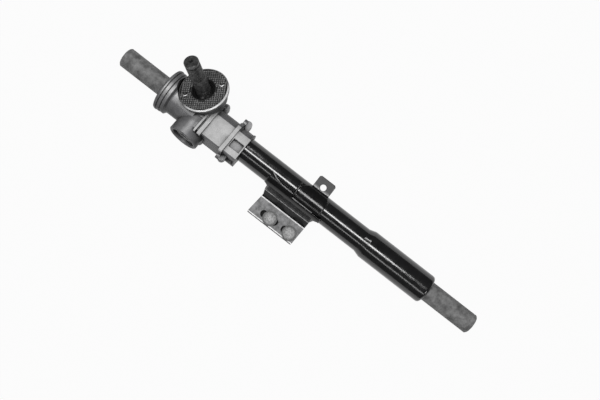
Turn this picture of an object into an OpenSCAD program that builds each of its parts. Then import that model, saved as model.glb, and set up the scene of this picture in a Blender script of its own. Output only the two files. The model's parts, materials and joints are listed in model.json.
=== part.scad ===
// Steering rack for a small car: a cast pinion housing with a long steel rack tube,
// a sliding rack bar, a helical pinion on a skewed input shaft and a spring-loaded yoke.
// Lengths are in millimetres, angles in degrees.

/* [Rack bar] */
// Diameter of the round rack bar
rack_d = 24; // [22:0.5:26]
// Length of the rack bar from end to end
rack_len = 495; // [475:5:540]
// Reach of the rack bar from the pinion crossing to its left end
rack_left = 109; // [98:1:112]
// Core diameter of the tie rod thread in each end of the rack bar
tie_thread_d = 12.5; // [10.5:0.5:14]
// Depth of the tie rod thread
tie_thread_depth = 24; // [16:1:30]
// Chamfer on the ends of the rack bar
rack_chamfer = 1.2; // [0.5:0.1:2]
// Reach of the toothed stretch to the left of the pinion crossing
teeth_left = 44; // [40:1:50]
// Reach of the toothed stretch to the right of the pinion crossing
teeth_right = 69; // [65:1:90]

/* [Gear pair] */
// Number of teeth on the pinion
pinion_teeth = 7; // [6:1:8]
// Normal module of the teeth
normal_module = 2; // [1.8:0.1:2.2]
// Pressure angle of the teeth
pressure_angle = 20; // [18:1:22]
// Play between the tooth flanks, measured along the rack
backlash = 0.3; // [0.2:0.05:0.5]
// Depth of the flat under the tooth tips, below the rack bar's round surface
tip_flat_depth = 2.5; // [2:0.1:3]
// Half the length of the pinion's toothed part
pinion_half_face = 12.5; // [11:0.5:13]
// Angle between the pinion axis and a line square to the rack
skew_angle = 21.5; // [12:0.5:23]
// Roll of the pinion and yoke about the rack axis
tilt_angle = 16; // [8:1:24]

/* [Input shaft] */
// Diameter of the shaft at the ball bearing and the seal
journal_d = 17; // [16:0.5:17.5]
// Diameter over the serrations and the plain upper shaft
upper_shaft_d = 16.4; // [15:0.1:16.6]
// Distance from the rack axis plane to the tip of the shaft, along the pinion axis
shaft_tip = 84; // [78:1:100]
// Length of the serrated stretch
serration_len = 22; // [15:1:26]
// Number of serrations
serration_count = 36; // [24:1:48]
// Depth of the serrations
serration_depth = 0.6; // [0.3:0.1:0.8]
// Width of the clamp bolt groove near the tip
clamp_groove_w = 2.4; // [1.5:0.1:4]
// Depth of the clamp bolt groove
clamp_groove_depth = 0.9; // [0.4:0.1:1.5]
// Diameter of the lower journal
lower_journal_d = 12; // [9:0.5:12.5]

/* [Pinion bearings and seal] */
// Outer diameter of the ball bearing
bearing_d = 35; // [34:0.5:36]
// Width of the ball bearing
bearing_w = 8; // [7:0.5:9]
// Diameter of each bearing ball
ball_d = 4.6; // [4:0.1:5]
// Number of bearing balls
ball_count = 9; // [7:1:10]
// Wall of the lower needle bush
bush_wall = 3; // [2:0.25:4]
// Length of the lower needle bush
bush_len = 12; // [8:1:14]
// Thickness of the plug that closes the pinion bore from below
bore_plug_t = 4; // [3:0.5:6]
// Outer diameter of the shaft seal
seal_d = 28; // [26:0.5:29]
// Height of the shaft seal
seal_h = 4; // [3:0.25:5]
// Diameter of the knurled ring nut
ring_nut_d = 56.8; // [54:0.2:62]
// Thickness of the ring nut's rim
ring_nut_t = 4; // [3:0.25:6]
// Depth of the ring nut's threaded spigot
spigot_h = 2.8; // [2:0.2:4]
// Diameter of the ring nut's thread
spigot_d = 40; // [39:0.5:42]
// Diameter of the two spanner holes
spanner_hole_d = 4.8; // [3:0.1:5.5]
// Distance between the two spanner holes
spanner_hole_span = 42; // [38:0.5:45]

/* [Housing casting] */
// Wall of the casting round the rack tunnel
body_wall = 6.3; // [5:0.1:8]
// Clearance of the rack tunnel round the rack bar
tunnel_clearance = 1; // [0.8:0.1:1.4]
// Reach of the housing to the left of the pinion crossing
housing_left = 50; // [48:0.5:54]
// Reach of the housing to the right of the pinion crossing
housing_right = 62.6; // [60:0.2:72]
// Diameter of the largest boot ring
boot_ring_d = 52.4; // [50:0.2:56]
// Width of the three boot rings together
boot_rings_w = 13.5; // [11:0.5:15]
// Diameter of the neck between the boot rings and the yoke barrel
left_neck_d = 43.4; // [41:0.2:46]
// Diameter of the mouth at the boot end
mouth_d = 38; // [34:0.5:40]
// Depth of the mouth at the boot end
mouth_depth = 11; // [6:0.5:14]
// Height of the flat clamp seat above the rack axis
seat_height = 18; // [16:0.2:18.8]
// Reach of the clamp block towards the yoke side
block_reach = 22.6; // [21:0.2:24]
// Position of the first clamp flange, its right face
seat_from = 15.5; // [14:0.5:18]
// Position of the second clamp flange, its left face
seat_to = 41.2; // [36:0.2:43]
// Thickness of the clamp flanges
flange_t = 4.4; // [3:0.2:6]
// Height of the clamp flanges above the block
flange_h = 2.4; // [1:0.2:3]
// Radius of the rounded ears on the clamp flanges
ear_r = 5; // [4:0.25:6]
// Distance of the ears from the rack axis
ear_offset = 24; // [22:0.5:26]
// Diameter of the pinion tower round the ball bearing
tower_d = 46; // [45:0.5:50]
// Diameter of the pinion tower round the teeth
tower_waist_d = 33; // [31:0.5:40]
// Diameter of the boss round the lower bush
lower_boss_d = 28; // [26:0.5:32]
// Length of the rounded lugs behind the ears
lug_len = 9; // [6:0.5:12]
// Depth of the pockets in the tube collar
pocket_depth = 2.4; // [1:0.1:2.6]

/* [Yoke] */
// Diameter of the thrust yoke
yoke_d = 26; // [24:0.5:27]
// Length of the thrust yoke behind the rack bar
yoke_back = 12.5; // [11:0.5:15]
// Thickness of the yoke's sliding liner
liner_t = 1; // [0.6:0.1:1.5]
// Diameter of the adjuster plug's thread
plug_d = 28; // [27.5:0.1:30]
// Thickness of the adjuster plug
plug_t = 6; // [4:0.5:8]
// Distance of the plug below the barrel's mouth
plug_recess = 4.2; // [1:0.2:6]
// Width across flats of the plug's hexagon socket
plug_hex = 14; // [10:1:17]
// Wall of the yoke barrel outside the plug's thread
barrel_wall = 4.3; // [3:0.1:6]
// Wire diameter of the yoke spring
spring_wire_d = 2.4; // [1.8:0.1:2.6]
// Mean diameter of the yoke spring
spring_d = 13; // [11:0.5:14]
// Number of turns of the yoke spring
spring_turns = 2.25; // [1.5:0.25:2.5]
// Thickness of the yoke's sealing ring
o_ring_d = 2; // [1.5:0.1:2.5]

/* [Rack tube] */
// Wall of the steel tube
tube_wall = 2; // [1.5:0.1:2.5]
// Reach of the tube to the right of the pinion crossing
tube_end = 322.5; // [312:0.5:330]
// Length of the tube pressed into the housing
tube_socket = 40; // [25:1:44]
// Length of the wider end of the tube
swell_len = 85; // [60:1:110]
// Length of the taper between the two tube diameters
flare_len = 8; // [5:0.5:15]
// Wall of the plastic rack bush in the wider end
rack_bush_wall = 3.4; // [2.6:0.1:4.4]
// Length of the plastic rack bush
rack_bush_len = 28; // [15:1:40]

/* [Mounting bracket] */
// Thickness of the bracket's steel sheet
sheet_t = 3; // [2:0.25:4]
// Distance from the pinion crossing to the middle of the bolt pair
bolts_x = 146; // [138:1:170]
// Distance between the two bolts
bolt_spacing = 28; // [26:0.5:30]
// Distance of the bolts from the rack axis
bolts_y = 45.4; // [42:0.2:48]
// Distance of the bracket's underside below the rack axis
plate_drop = 20; // [19:0.5:23]
// Reach of the plate to the left of the bolt pair's middle
plate_left = 40; // [38:0.5:46]
// Reach of the plate to the right of the bolt pair's middle
plate_right = 23.6; // [22.6:0.2:30]
// Land between the bolts and the plate's free edge
plate_land = 9.9; // [9:0.1:14]
// Extra reach of the saddle past the plate on its left side
saddle_flare_left = 3; // [1:0.5:6]
// Extra reach of the saddle past the plate on its right side
saddle_flare_right = 8; // [4:0.5:10]
// Depth of the fold at the foot of the plate's left and right edges
plate_taper = 2.6; // [1:0.2:4]
// Distance from the line of bolts to the fold above the plate
fold_reach = 16.5; // [15:0.5:18]
// Distance from the line of bolts to the bend under the saddle
wall_reach = 24.7; // [24:0.1:26]
// Height of that bend above the plate
wall_rise = 6.7; // [5:0.1:8]
// Width of the layer folded back under the plate, from the line of bolts
hem_reach = 9; // [7:0.5:12]
// Width of the slots
slot_w = 8.6; // [8.6:0.1:9]
// Length of the left slot
slot_left_len = 24; // [18:0.5:24]
// Length of the right slot
slot_right_len = 17; // [14:0.5:18]

/* [Bracket bolts] */
// Thread diameter of the bolts
bolt_d = 8; // [6:0.5:8]
// Diameter of the plain neck under each bolt head
bolt_neck_d = 8.4; // [8.35:0.05:8.5]
// Diameter of the domed bolt heads
bolt_head_d = 14.4; // [13:0.1:16]
// Height of the domed bolt heads
bolt_head_h = 3.4; // [2.6:0.2:5]
// Length of the bolts below the bracket
bolt_reach = 18; // [10:1:30]
// Diameter of the washers under the bolt heads
washer_d = 17.6; // [16.4:0.1:19]
// Thickness of the washers
washer_t = 1.2; // [0.8:0.1:2]

/* [Side tab] */
// Distance from the pinion crossing to the middle of the side tab
tab_x = 158.8; // [150:0.2:180]
// Width of the side tab along the rack
tab_w = 22; // [16:0.5:30]
// Reach of the side tab from the rack axis
tab_reach = 29.6; // [27:0.2:34]
// Diameter of the hole in the side tab
tab_hole_d = 7.4; // [5:0.2:9]
// Distance of the hole from the rack axis
tab_hole_y = 19.6; // [19:0.1:22]
// Height of the side tab's upper face above the rack axis
tab_height = 10; // [9:0.5:11]
// Thickness of the tab and of its strap over the tube
strap_t = 2.4; // [1.6:0.2:3]
// Reach of the strap to the left of the tab's middle
strap_left = 21.8; // [12:0.2:26]
// Reach of the strap to the right of the tab's middle
strap_right = 14.2; // [12:0.2:20]

/* [Hidden] */
$fn = 96;
fine = 0.02;          // gap between pressed pieces
running = 0.05;       // radial clearance of a running or sliding fit
past = 1;             // how far a cutter runs past the face it cuts
colour_cast = "lightslategray";
colour_steel = "silver";
colour_paint = "#1c1c1e";
colour_rubber = "#202020";

rack_r = rack_d / 2;
tunnel_r = rack_r + tunnel_clearance;
body_r = tunnel_r + body_wall;
tube_r = tunnel_r + tube_wall;
rack_bush_r = rack_r + running + rack_bush_wall;
swell_r = rack_bush_r + fine + tube_wall;
rim_r = 3.4;
bush_end = tube_end - tube_wall - fine;

// Gear pair: the rack teeth run square across the bar, and the pinion's helix equals its skew.
pitch = PI * normal_module;
profile_shift = 0.5;
tip_relief = 0.35;
pitch_r = pinion_teeth * normal_module / 2 / cos(skew_angle);
transverse_angle = atan(tan(pressure_angle) / cos(skew_angle));
base_r = pitch_r * cos(transverse_angle);
pinion_tip_r = pitch_r + normal_module * (1 + profile_shift) - tip_relief;
pinion_root_r = pitch_r - normal_module * (1.25 - profile_shift);
tooth_tip_y = rack_r - tip_flat_depth;
tooth_root_y = tooth_tip_y - 2.25 * normal_module;
pinion_y = tooth_tip_y + pitch_r - normal_module * (1 - profile_shift);

// Stations along the pinion axis, counted from the rack axis plane.
journal_r = journal_d / 2;
bearing_r = bearing_d / 2;
rack_clear = 0.6;
// Height at which a round piece of radius r clears the rack bar under it.
function height_over_rack(r) = max([
    for (y = [-rack_r : 0.5 : tooth_tip_y])
        let (across = r * r - pow(pinion_y - y, 2))
            across < 0 ? 0
            : (sqrt(rack_r * rack_r - y * y) + rack_clear + sqrt(across) * sin(skew_angle)) / cos(skew_angle)
]);
bearing_from = height_over_rack(bearing_r);
bearing_to = bearing_from + bearing_w;
tower_top = bearing_to + spigot_h;
nut_top = tower_top + ring_nut_t;
seal_from = nut_top - 1.4 - seal_h;
circlip_t = 1.2;
gear_cavity_r = pinion_tip_r + 1.2;
bush_r = lower_journal_d / 2 + running + bush_wall;
bush_from = -pinion_half_face - 4.5;
bush_to = bush_from - bush_len;
plug_bore_r = bush_r + 1;
bore_plug_from = bush_to - 1;
tower_bottom = bore_plug_from - bore_plug_t;
tower_r = tower_d / 2;
waist_r = tower_waist_d / 2;
shoulder_at = bearing_from - 4;
waist_top = shoulder_at - tower_r + waist_r;

// Stations along the yoke axis, counted from the rack axis towards the barrel's mouth.
yoke_r = yoke_d / 2;
saddle_r = rack_r + running + liner_t;
yoke_front = 6.5;
yoke_end = rack_r + yoke_back;
spring_pocket_depth = 7;
o_ring_r = yoke_r + running - fine - o_ring_d / 2;
plug_from = yoke_end + 0.1;
barrel_mouth = plug_from + plug_t + plug_recess;
barrel_r = plug_d / 2 + barrel_wall;

plate_top = 2 * sheet_t - plate_drop;
bolt_places = [bolts_x - bolt_spacing / 2, bolts_x + bolt_spacing / 2];

// The origin is the middle of the bolt pair on the bracket's underside.
module in_place() { translate([-bolts_x, bolts_y, plate_drop]) children(); }

// Frame of the housing: Y away from the yoke, Z along the pinion before it is skewed.
module tilted() { in_place() rotate([-tilt_angle, 0, 0]) children(); }

// Frame of the pinion: Z along its axis, towards the input end.
module on_pinion_axis() { tilted() pinion_pose() children(); }

module pinion_pose() { translate([0, pinion_y, 0]) rotate([0, -skew_angle, 0]) children(); }

// Turns a shape made along Z so that it points along X, from x.
module along_x(x) { translate([x, 0, 0]) rotate([0, 90, 0]) children(); }

// Turns a shape made along Z so that it points from the rack axis to the yoke's mouth.
module along_yoke(d) { rotate([90, 0, 0]) translate([0, 0, d]) children(); }

// Extrudes an outline drawn in Y and Z along X.
module slab(x0, x1) { translate([x0, 0, 0]) rotate([90, 0, 90]) linear_extrude(x1 - x0) children(); }

module ring(r_out, r_in, h) {
    difference() {
        cylinder(h = h, r = r_out);
        translate([0, 0, -past]) cylinder(h = h + 2 * past, r = r_in);
    }
}

// Section of the casting past the yoke: round, cut by a flat clamp seat and squared on the yoke side.
module block_section(grow) {
    r = body_r + grow;
    top = seat_height + grow;
    side = -block_reach - grow;
    corner = 1.4;
    foot = -0.52 * r;
    far = 2 * block_reach;
    intersection() {
        union() {
            circle(r = r);
            polygon([[-far, far], [1, far], [1, 0], [foot, 1.4 * foot], [side, foot], [-far, foot]]);
        }
        polygon([[side + corner, top], [far, top], [far, -far], [side, -far], [side, top - corner]]);
    }
}

module ears() {
    for (side = [-1, 1]) {
        translate([side * ear_offset, 0]) circle(r = ear_r);
        translate([side * ear_offset / 2, 0]) square([ear_offset, 1.7 * ear_r], center = true);
    }
}

module clamp_flange(x0) {
    slab(x0, x0 + flange_t) {
        block_section(flange_h);
        ears();
    }
}

// Rounded lug on each side of the casting, behind an ear.
module lugs(x0) {
    r = lug_len / 2;
    for (side = [-1, 1]) translate([x0 + r, side * (ear_offset + ear_r - r), -ear_r]) {
        cylinder(h = 1.7 * ear_r, r = r);
        translate([-r, side > 0 ? -ear_offset / 2 : 0, 0]) cube([lug_len, ear_offset / 2, 1.7 * ear_r]);
    }
}

// Boot end: three shallow rings, then a neck that runs into the yoke barrel.
module boot_end() {
    ring_r = boot_ring_d / 2;
    w = boot_rings_w / 3;
    step = 0.5;
    groove = 1;
    neck = left_neck_d / 2;
    along_x(-housing_left) rotate_extrude() polygon([
        [0, 0], [ring_r - 2.2, 0], [ring_r - 0.6, 0.7], [ring_r, 2.2], [ring_r, w - 0.8],
        [ring_r - groove, w - 0.4], [ring_r - groove, w], [ring_r - step, w + 0.4],
        [ring_r - step, 2 * w - 0.8], [ring_r - step - groove, 2 * w - 0.4],
        [ring_r - step - groove, 2 * w], [ring_r - 2 * step, 2 * w + 0.4],
        [ring_r - 2 * step, 3 * w - 0.6], [neck + 0.6, 3 * w + 1.6], [neck, 3 * w + 3],
        [neck, housing_left - 4], [0, housing_left - 4]
    ]);
}

// Pockets between the ribs of the tube collar.
module collar_pockets() {
    from = seat_to + flange_t + 1.6;
    to = housing_right - 1.4;
    rib_from = 0.1 * body_r;
    rib_to = 0.4 * body_r;
    translate([from, -0.62 * block_reach, seat_height - pocket_depth])
        cube([to - from, 0.62 * block_reach + rib_from, pocket_depth + past]);
    intersection() {
        along_x(from) ring(body_r + past, body_r - pocket_depth + 0.6, to - from);
        translate([from, rib_to, 0]) cube([to - from, body_r, body_r]);
    }
    translate([from, -block_reach - past, -0.35 * seat_height])
        cube([to - from, pocket_depth + past, 0.35 * seat_height + 0.62 * seat_height]);
}

module housing_outside() {
    boot_end();
    difference() {
        union() {
            slab(-housing_left / 2, housing_right) circle(r = body_r);
            slab(0, housing_right) block_section(0);
        }
        collar_pockets();
    }
    slab(seat_from - 2.1 * flange_t, seat_from - 1.55 * flange_t) block_section(flange_h);
    clamp_flange(seat_from - flange_t);
    clamp_flange(seat_to);
    lugs(seat_from - flange_t);
    lugs(seat_to + 1.8);
    along_yoke(0) cylinder(h = barrel_mouth - 1, r = barrel_r);
    along_yoke(barrel_mouth - 1) cylinder(h = 1, r1 = barrel_r, r2 = barrel_r - 1);
    pinion_pose() rotate_extrude() polygon([
        [0, tower_bottom], [lower_boss_d / 2, tower_bottom], [lower_boss_d / 2, bush_from - 2],
        [waist_r, -pinion_half_face], [waist_r, waist_top], [tower_r, shoulder_at], [tower_r, tower_top], [0, tower_top]
    ]);
}

module pinion_housing() {
    color(colour_cast) tilted() difference() {
        housing_outside();
        along_x(-housing_left - past) cylinder(h = housing_left + housing_right + 2 * past, r = tunnel_r);
        along_x(-housing_left - past) cylinder(h = mouth_depth + past, r = mouth_d / 2);
        along_x(-housing_left + mouth_depth) cylinder(h = 5, r1 = mouth_d / 2, r2 = tunnel_r);
        along_x(housing_right - tube_socket) cylinder(h = tube_socket + past, r = tube_r + fine);
        along_yoke(0) cylinder(h = barrel_mouth, r = yoke_r + running);
        along_yoke(yoke_end) cylinder(h = barrel_mouth - yoke_end + past, r = plug_d / 2 + fine);
        along_yoke(barrel_mouth - 1.2) cylinder(h = 1.3, r1 = plug_d / 2, r2 = plug_d / 2 + 1.3);
        pinion_pose() {
            translate([0, 0, bush_from]) cylinder(h = bearing_from - bush_from, r = gear_cavity_r);
            translate([0, 0, bearing_from]) cylinder(h = bearing_w + past, r = bearing_r + fine);
            translate([0, 0, bearing_to]) cylinder(h = spigot_h + past, r = spigot_d / 2 + fine);
            translate([0, 0, bush_to]) cylinder(h = bush_len + past, r = bush_r + fine);
            translate([0, 0, bore_plug_from]) cylinder(h = bush_to - bore_plug_from + past, r = bush_r - 1);
            translate([0, 0, tower_bottom - past]) cylinder(h = bore_plug_t + past, r = plug_bore_r + fine);
            translate([0, 0, tower_top]) cylinder(h = 2 * tower_r, r = ring_nut_d / 2 + 0.8);
        }
    }
}

// Rack tube: plain, then flared out to hold the rack bush, with its rim rolled inwards.
module rack_tube() {
    start = housing_right - tube_socket;
    len = tube_end - start;
    swell_at = len - swell_len;
    flare_at = swell_at - flare_len;
    socket_r = rack_bush_r + fine;
    rolled = [for (a = [0 : 15 : 90]) [swell_r - rim_r + rim_r * cos(a), len - rim_r + rim_r * sin(a)]];
    color(colour_paint) in_place() along_x(start) rotate_extrude() polygon(concat(
        [[tunnel_r, 0], [tube_r - 0.6, 0], [tube_r, 0.6], [tube_r, flare_at], [swell_r, swell_at]],
        rolled,
        [[rack_r + 1.2, len], [rack_r + 1.2, len - tube_wall], [socket_r, len - tube_wall],
         [socket_r, swell_at + 1], [tunnel_r, flare_at + 1]]
    ));
}

// Plastic bush that guides the rack bar, and the snap ring that holds it against the rolled rim.
module rack_bush() {
    color("#d8d2c0") in_place() along_x(bush_end - rack_bush_len) difference() {
        ring(rack_bush_r, rack_r + running, rack_bush_len);
        for (a = [0, 120, 240])
            rotate([0, 0, a]) translate([rack_r - 0.2, -1, rack_bush_len * 0.25])
                cube([1.6, 2, rack_bush_len]);
    }
}

module bush_ring() {
    color(colour_steel) in_place() along_x(bush_end - rack_bush_len - fine - 1.4) difference() {
        ring(rack_bush_r, rack_r + 1, 1.4);
        translate([0, -2, -past]) cube([2 * rack_bush_r, 4, 2 + 2 * past]);
    }
}

// Points of a rounded bend of radius r between the legs a-b and b-c of a sheet.
function unit(v) = v / norm(v);
function bend(a, b, c, r) =
    let (u = unit(a - b), v = unit(c - b), half = acos(u * v) / 2,
         mid = b + unit(u + v) * r / sin(half), from = b + u * r / tan(half) - mid,
         turn = cross(u, v) > 0 ? -1 : 1, sweep = 180 - 2 * half)
    [for (i = [0 : 6]) let (t = turn * sweep * i / 6)
        mid + [from[0] * cos(t) - from[1] * sin(t), from[0] * sin(t) + from[1] * cos(t)]];

// Points beside a path, d away from it, with mitred corners.
function beside(path, d) = [
    for (i = [0 : len(path) - 1])
        let (u = unit(path[min(i + 1, len(path) - 1)] - path[min(i, len(path) - 2)]),
             v = unit(path[max(i, 1)] - path[max(i - 1, 0)]),
             m = unit(u + v))
        path[i] + [-m[1], m[0]] * d / (m * u)
];

saddle_mid_r = tube_r + fine + sheet_t / 2;
saddle_angles = [93 : 5 : 158];
leave = saddle_mid_r * [cos(158), sin(158)];
wall_foot = [-bolts_y + wall_reach, plate_top + wall_rise];
fold = [-bolts_y + fold_reach, plate_top - sheet_t / 2];
plate_edge = [-bolts_y - plate_land + sheet_t, plate_top - sheet_t / 2];
sheet_path = concat(
    [for (a = saddle_angles) saddle_mid_r * [cos(a), sin(a)]],
    bend(leave, wall_foot, fold, 5), bend(wall_foot, fold, plate_edge, 4.5), [plate_edge]
);

// A slot with round ends, centred on a bolt or beside it.
module slot(x, len) {
    half = (len - slot_w) / 2;
    translate([x, -bolts_y, plate_top - sheet_t]) {
        for (side = [-1, 1]) translate([side * half, 0, 0]) cylinder(h = sheet_t + past, d = slot_w);
        translate([-half, -slot_w / 2, 0]) cube([2 * half, slot_w, sheet_t + past]);
    }
}

// Layer folded back under the plate, from its inner end round the free edge.
hem = concat(
    [[-bolts_y + hem_reach, plate_top - sheet_t], [-bolts_y + hem_reach, -plate_drop]],
    [for (a = [270 : -15 : 105]) plate_edge + [0, -sheet_t / 2] + sheet_t * [cos(a), sin(a)]]
);

// Pressed sheet saddle, welded along the tube and folded out into the bolting plate.
// Its slots go through the upper layer, and the layer under it has round holes.
module mounting_bracket() {
    edge = len(sheet_path) - 1;
    x0 = bolts_x - plate_left;
    x1 = bolts_x + plate_right;
    y0 = -bolts_y - plate_land - past / 2;
    corner = 1.5;
    left = x0 - saddle_flare_left;
    right = x1 + saddle_flare_right;
    wall_y = -tube_r - 2;
    fold_y = -bolts_y + fold_reach + 1.5;
    strap_x = tab_x - strap_left - 0.6;
    strap_edge = strap_r * cos(strap_end_angle) - 0.6;
    color(colour_paint) in_place() difference() {
        intersection() {
            slab(left, right)
                polygon(concat(
                    [for (i = [0 : edge - 1]) beside(sheet_path, sheet_t / 2)[i]], hem,
                    [for (i = [edge : -1 : 0]) beside(sheet_path, -sheet_t / 2)[i]]
                ));
            translate([0, 0, -plate_drop - past]) linear_extrude(plate_drop + 2 * tube_r) polygon([
                [x0 + corner, y0], [x1 - corner, y0], [x1, y0 + corner], [x1 + 1, fold_y], [x1 + 1, wall_y - 4],
                [x1 + 3, wall_y], [right, 0.9 * wall_y], [right, strap_edge], [strap_x, strap_edge],
                [strap_x, -0.36 * tube_r], [x0 + 14, -0.34 * tube_r], [x0 + 5, -0.2 * tube_r], [left + 1, 0],
                [left, 0.9 * wall_y], [x0 + 0.6, wall_y], [x0 + 0.6, wall_y - 4], [x0 + plate_taper, fold_y],
                [x0, y0 + corner]
            ]);
        }
        slot(bolt_places[0] - 1, slot_left_len);
        slot(bolt_places[1] - 2.6, slot_right_len);
        for (x = bolt_places) translate([x, -bolts_y, -plate_drop - past])
            cylinder(h = sheet_t + 2 * past, d = bolt_neck_d + 0.4);
    }
}

// Pressed sheet strap, welded over the top of the tube, with a tab that stands out on the far side.
strap_r = tube_r + fine + strap_t;
strap_end_angle = 126;
module side_tab() {
    corner = 1.8;
    x0 = tab_x - tab_w / 2;
    x1 = tab_x + tab_w / 2;
    mid_r = strap_r - strap_t / 2;
    mid_z = tab_height - strap_t / 2;
    leave_angle = 40;
    arc = [for (a = [strap_end_angle : -4.3 : leave_angle]) mid_r * [cos(a), sin(a)]];
    last = mid_r * [cos(leave_angle), sin(leave_angle)];
    elbow = [last[0] + (last[1] - mid_z) * tan(leave_angle), mid_z];
    path = concat(arc, bend(last, elbow, [tab_reach, mid_z], 2.2), [[tab_reach, mid_z]]);
    wide_y = elbow[0] + 1;
    from = tab_x - strap_left;
    to = tab_x + strap_right;
    color(colour_paint) in_place() difference() {
        intersection() {
            slab(from, to) polygon(concat(beside(path, strap_t / 2), [
                for (i = [len(path) - 1 : -1 : 0]) beside(path, -strap_t / 2)[i]
            ]));
            linear_extrude(2 * tube_r) polygon([
                [from, 0.4 * tube_r], [from + 3, 0], [from + 3, -tube_r], [to - 2, -tube_r], [to, -0.5 * tube_r],
                [to, 0.5 * tube_r], [x1, wide_y], [x1, tab_reach - corner], [x1 - corner, tab_reach],
                [x0 + corner, tab_reach], [x0, tab_reach - corner], [x0, wide_y]
            ]);
        }
        translate([tab_x, tab_hole_y, 0]) cylinder(h = tab_height + past, d = tab_hole_d);
    }
}

// Bolts with a domed head, a plain neck through the slot and a threaded end.
module bracket_bolts() {
    cap_r = (pow(bolt_head_d / 2, 2) + pow(bolt_head_h, 2)) / (2 * bolt_head_h);
    seat = plate_top + washer_t;
    neck_end = 0.4;
    color(colour_steel) in_place() for (x = bolt_places) translate([x, -bolts_y, 0]) {
        translate([0, 0, seat]) rotate_extrude() intersection() {
            translate([0, bolt_head_h - cap_r]) circle(r = cap_r);
            square([bolt_head_d / 2, bolt_head_h]);
        }
        translate([0, 0, -plate_drop - neck_end])
            cylinder(h = seat + plate_drop + neck_end + past / 2, d = bolt_neck_d);
        translate([0, 0, -plate_drop - bolt_reach + 1]) cylinder(h = bolt_reach, d = bolt_d);
        translate([0, 0, -plate_drop - bolt_reach]) cylinder(h = 1, d1 = bolt_d - 2, d2 = bolt_d);
    }
}

module bracket_washers() {
    color(colour_steel) in_place() for (x = bolt_places)
        translate([x, -bolts_y, plate_top]) ring(washer_d / 2, bolt_neck_d / 2 + 0.1, washer_t);
}

// Yoke: an aluminium piston with a saddle for the rack bar and a pocket for its spring.
module thrust_yoke() {
    color("lightgray") tilted() difference() {
        along_yoke(yoke_front) cylinder(h = yoke_end - yoke_front, r = yoke_r);
        along_x(-yoke_r - past) cylinder(h = yoke_d + 2 * past, r = saddle_r);
        along_yoke(yoke_end - spring_pocket_depth)
            cylinder(h = spring_pocket_depth + past, r = (spring_d + spring_wire_d) / 2 + 0.4);
        along_yoke(yoke_end - 4) ring(yoke_r + past, o_ring_r - o_ring_d / 2 - fine, o_ring_d + 0.2);
    }
}

module yoke_liner() {
    color("#c9b98a") tilted() intersection() {
        along_x(-yoke_r) ring(saddle_r - fine, rack_r + running, yoke_d);
        along_yoke(yoke_front + 0.4) cylinder(h = rack_r + liner_t, r = yoke_r - 1);
    }
}

module yoke_o_ring() {
    color(colour_rubber) tilted() along_yoke(yoke_end - 4 + o_ring_d / 2 + 0.1)
        rotate_extrude() translate([o_ring_r, 0]) circle(d = o_ring_d, $fn = 32);
}

// Helical wire of the yoke spring, swept ring by ring.
module yoke_spring() {
    rings = ceil(spring_turns * 18);
    sides = 8;
    r = spring_wire_d / 2;
    rise = plug_from - yoke_end + spring_pocket_depth - spring_wire_d - 0.1;
    points = [
        for (i = [0 : rings]) for (k = [0 : sides - 1])
            let (a = 360 * spring_turns * i / rings, b = 360 * k / sides, d = spring_d / 2 + r * cos(b))
                [d * cos(a), d * sin(a), rise * i / rings + r * sin(b)]
    ];
    walls = [
        for (i = [0 : rings - 1]) for (k = [0 : sides - 1])
            let (n = (k + 1) % sides)
                [i * sides + k, i * sides + n, (i + 1) * sides + n, (i + 1) * sides + k]
    ];
    first = [for (k = [sides - 1 : -1 : 0]) k];
    last = [for (k = [0 : sides - 1]) rings * sides + k];
    color(colour_steel) tilted() along_yoke(yoke_end - spring_pocket_depth + r + 0.05)
        polyhedron(points = points, faces = concat(walls, [first, last]), convexity = 8);
}

module adjuster_plug() {
    color(colour_steel) tilted() along_yoke(plug_from) difference() {
        union() {
            cylinder(h = plug_t - 1, r = plug_d / 2);
            translate([0, 0, plug_t - 1]) cylinder(h = 1, r1 = plug_d / 2, r2 = plug_d / 2 - 1);
        }
        translate([0, 0, 2]) cylinder(h = plug_t, d = plug_hex / cos(30), $fn = 6);
    }
}

// Knurled ring nut: clamps the bearing, carries the seal and is turned by two spanner holes.
module ring_nut() {
    r = ring_nut_d / 2;
    color("gray") on_pinion_axis() difference() {
        union() {
            translate([0, 0, bearing_to]) cylinder(h = spigot_h + fine, r = spigot_d / 2);
            translate([0, 0, tower_top]) cylinder(h = ring_nut_t - 1.2, r = r);
            translate([0, 0, nut_top - 1.2]) cylinder(h = 1.2, r1 = r, r2 = r - 1.2);
        }
        translate([0, 0, bearing_to - past]) cylinder(h = nut_top, r = seal_d / 2 + fine);
        for (side = [-1, 1]) rotate([0, 0, 48.6]) translate([side * spanner_hole_span / 2, 0, 0]) {
            translate([0, 0, nut_top - 2.6]) cylinder(h = 2.6 + past, d = spanner_hole_d - 1);
            translate([0, 0, nut_top - 0.6]) cylinder(h = 0.7, d1 = spanner_hole_d - 1, d2 = spanner_hole_d);
        }
    }
}

module shaft_seal() {
    r = seal_d / 2;
    lip = journal_r + running;
    color(colour_rubber) on_pinion_axis() translate([0, 0, seal_from]) rotate_extrude() polygon([
        [lip, seal_h - 1.2], [lip + 0.5, seal_h - 2], [lip + 1.6, seal_h - 2], [lip + 1.6, 1.4], [lip + 0.6, 0.8],
        [lip + 0.6, 0], [r, 0], [r, seal_h - 0.4], [r - 0.4, seal_h], [r - 1.8, seal_h],
        [r - 2.4, seal_h - 1], [lip + 2.2, seal_h - 1], [lip + 0.6, seal_h + 0.6], [lip, seal_h + 0.4]
    ]);
}

// Ball bearing between the pinion and the housing.
race_mid = (journal_r + bearing_r) / 2;
race_gap = 0.3 * ball_d;
cage_w = ball_d + 1.6;

module ball_track() {
    translate([0, 0, bearing_from + bearing_w / 2])
        rotate_extrude() translate([race_mid, 0]) circle(d = ball_d + 2 * running, $fn = 48);
}

module at_balls() {
    for (i = [0 : ball_count - 1])
        rotate([0, 0, 360 * i / ball_count]) translate([race_mid, 0, bearing_from + bearing_w / 2]) children();
}

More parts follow.
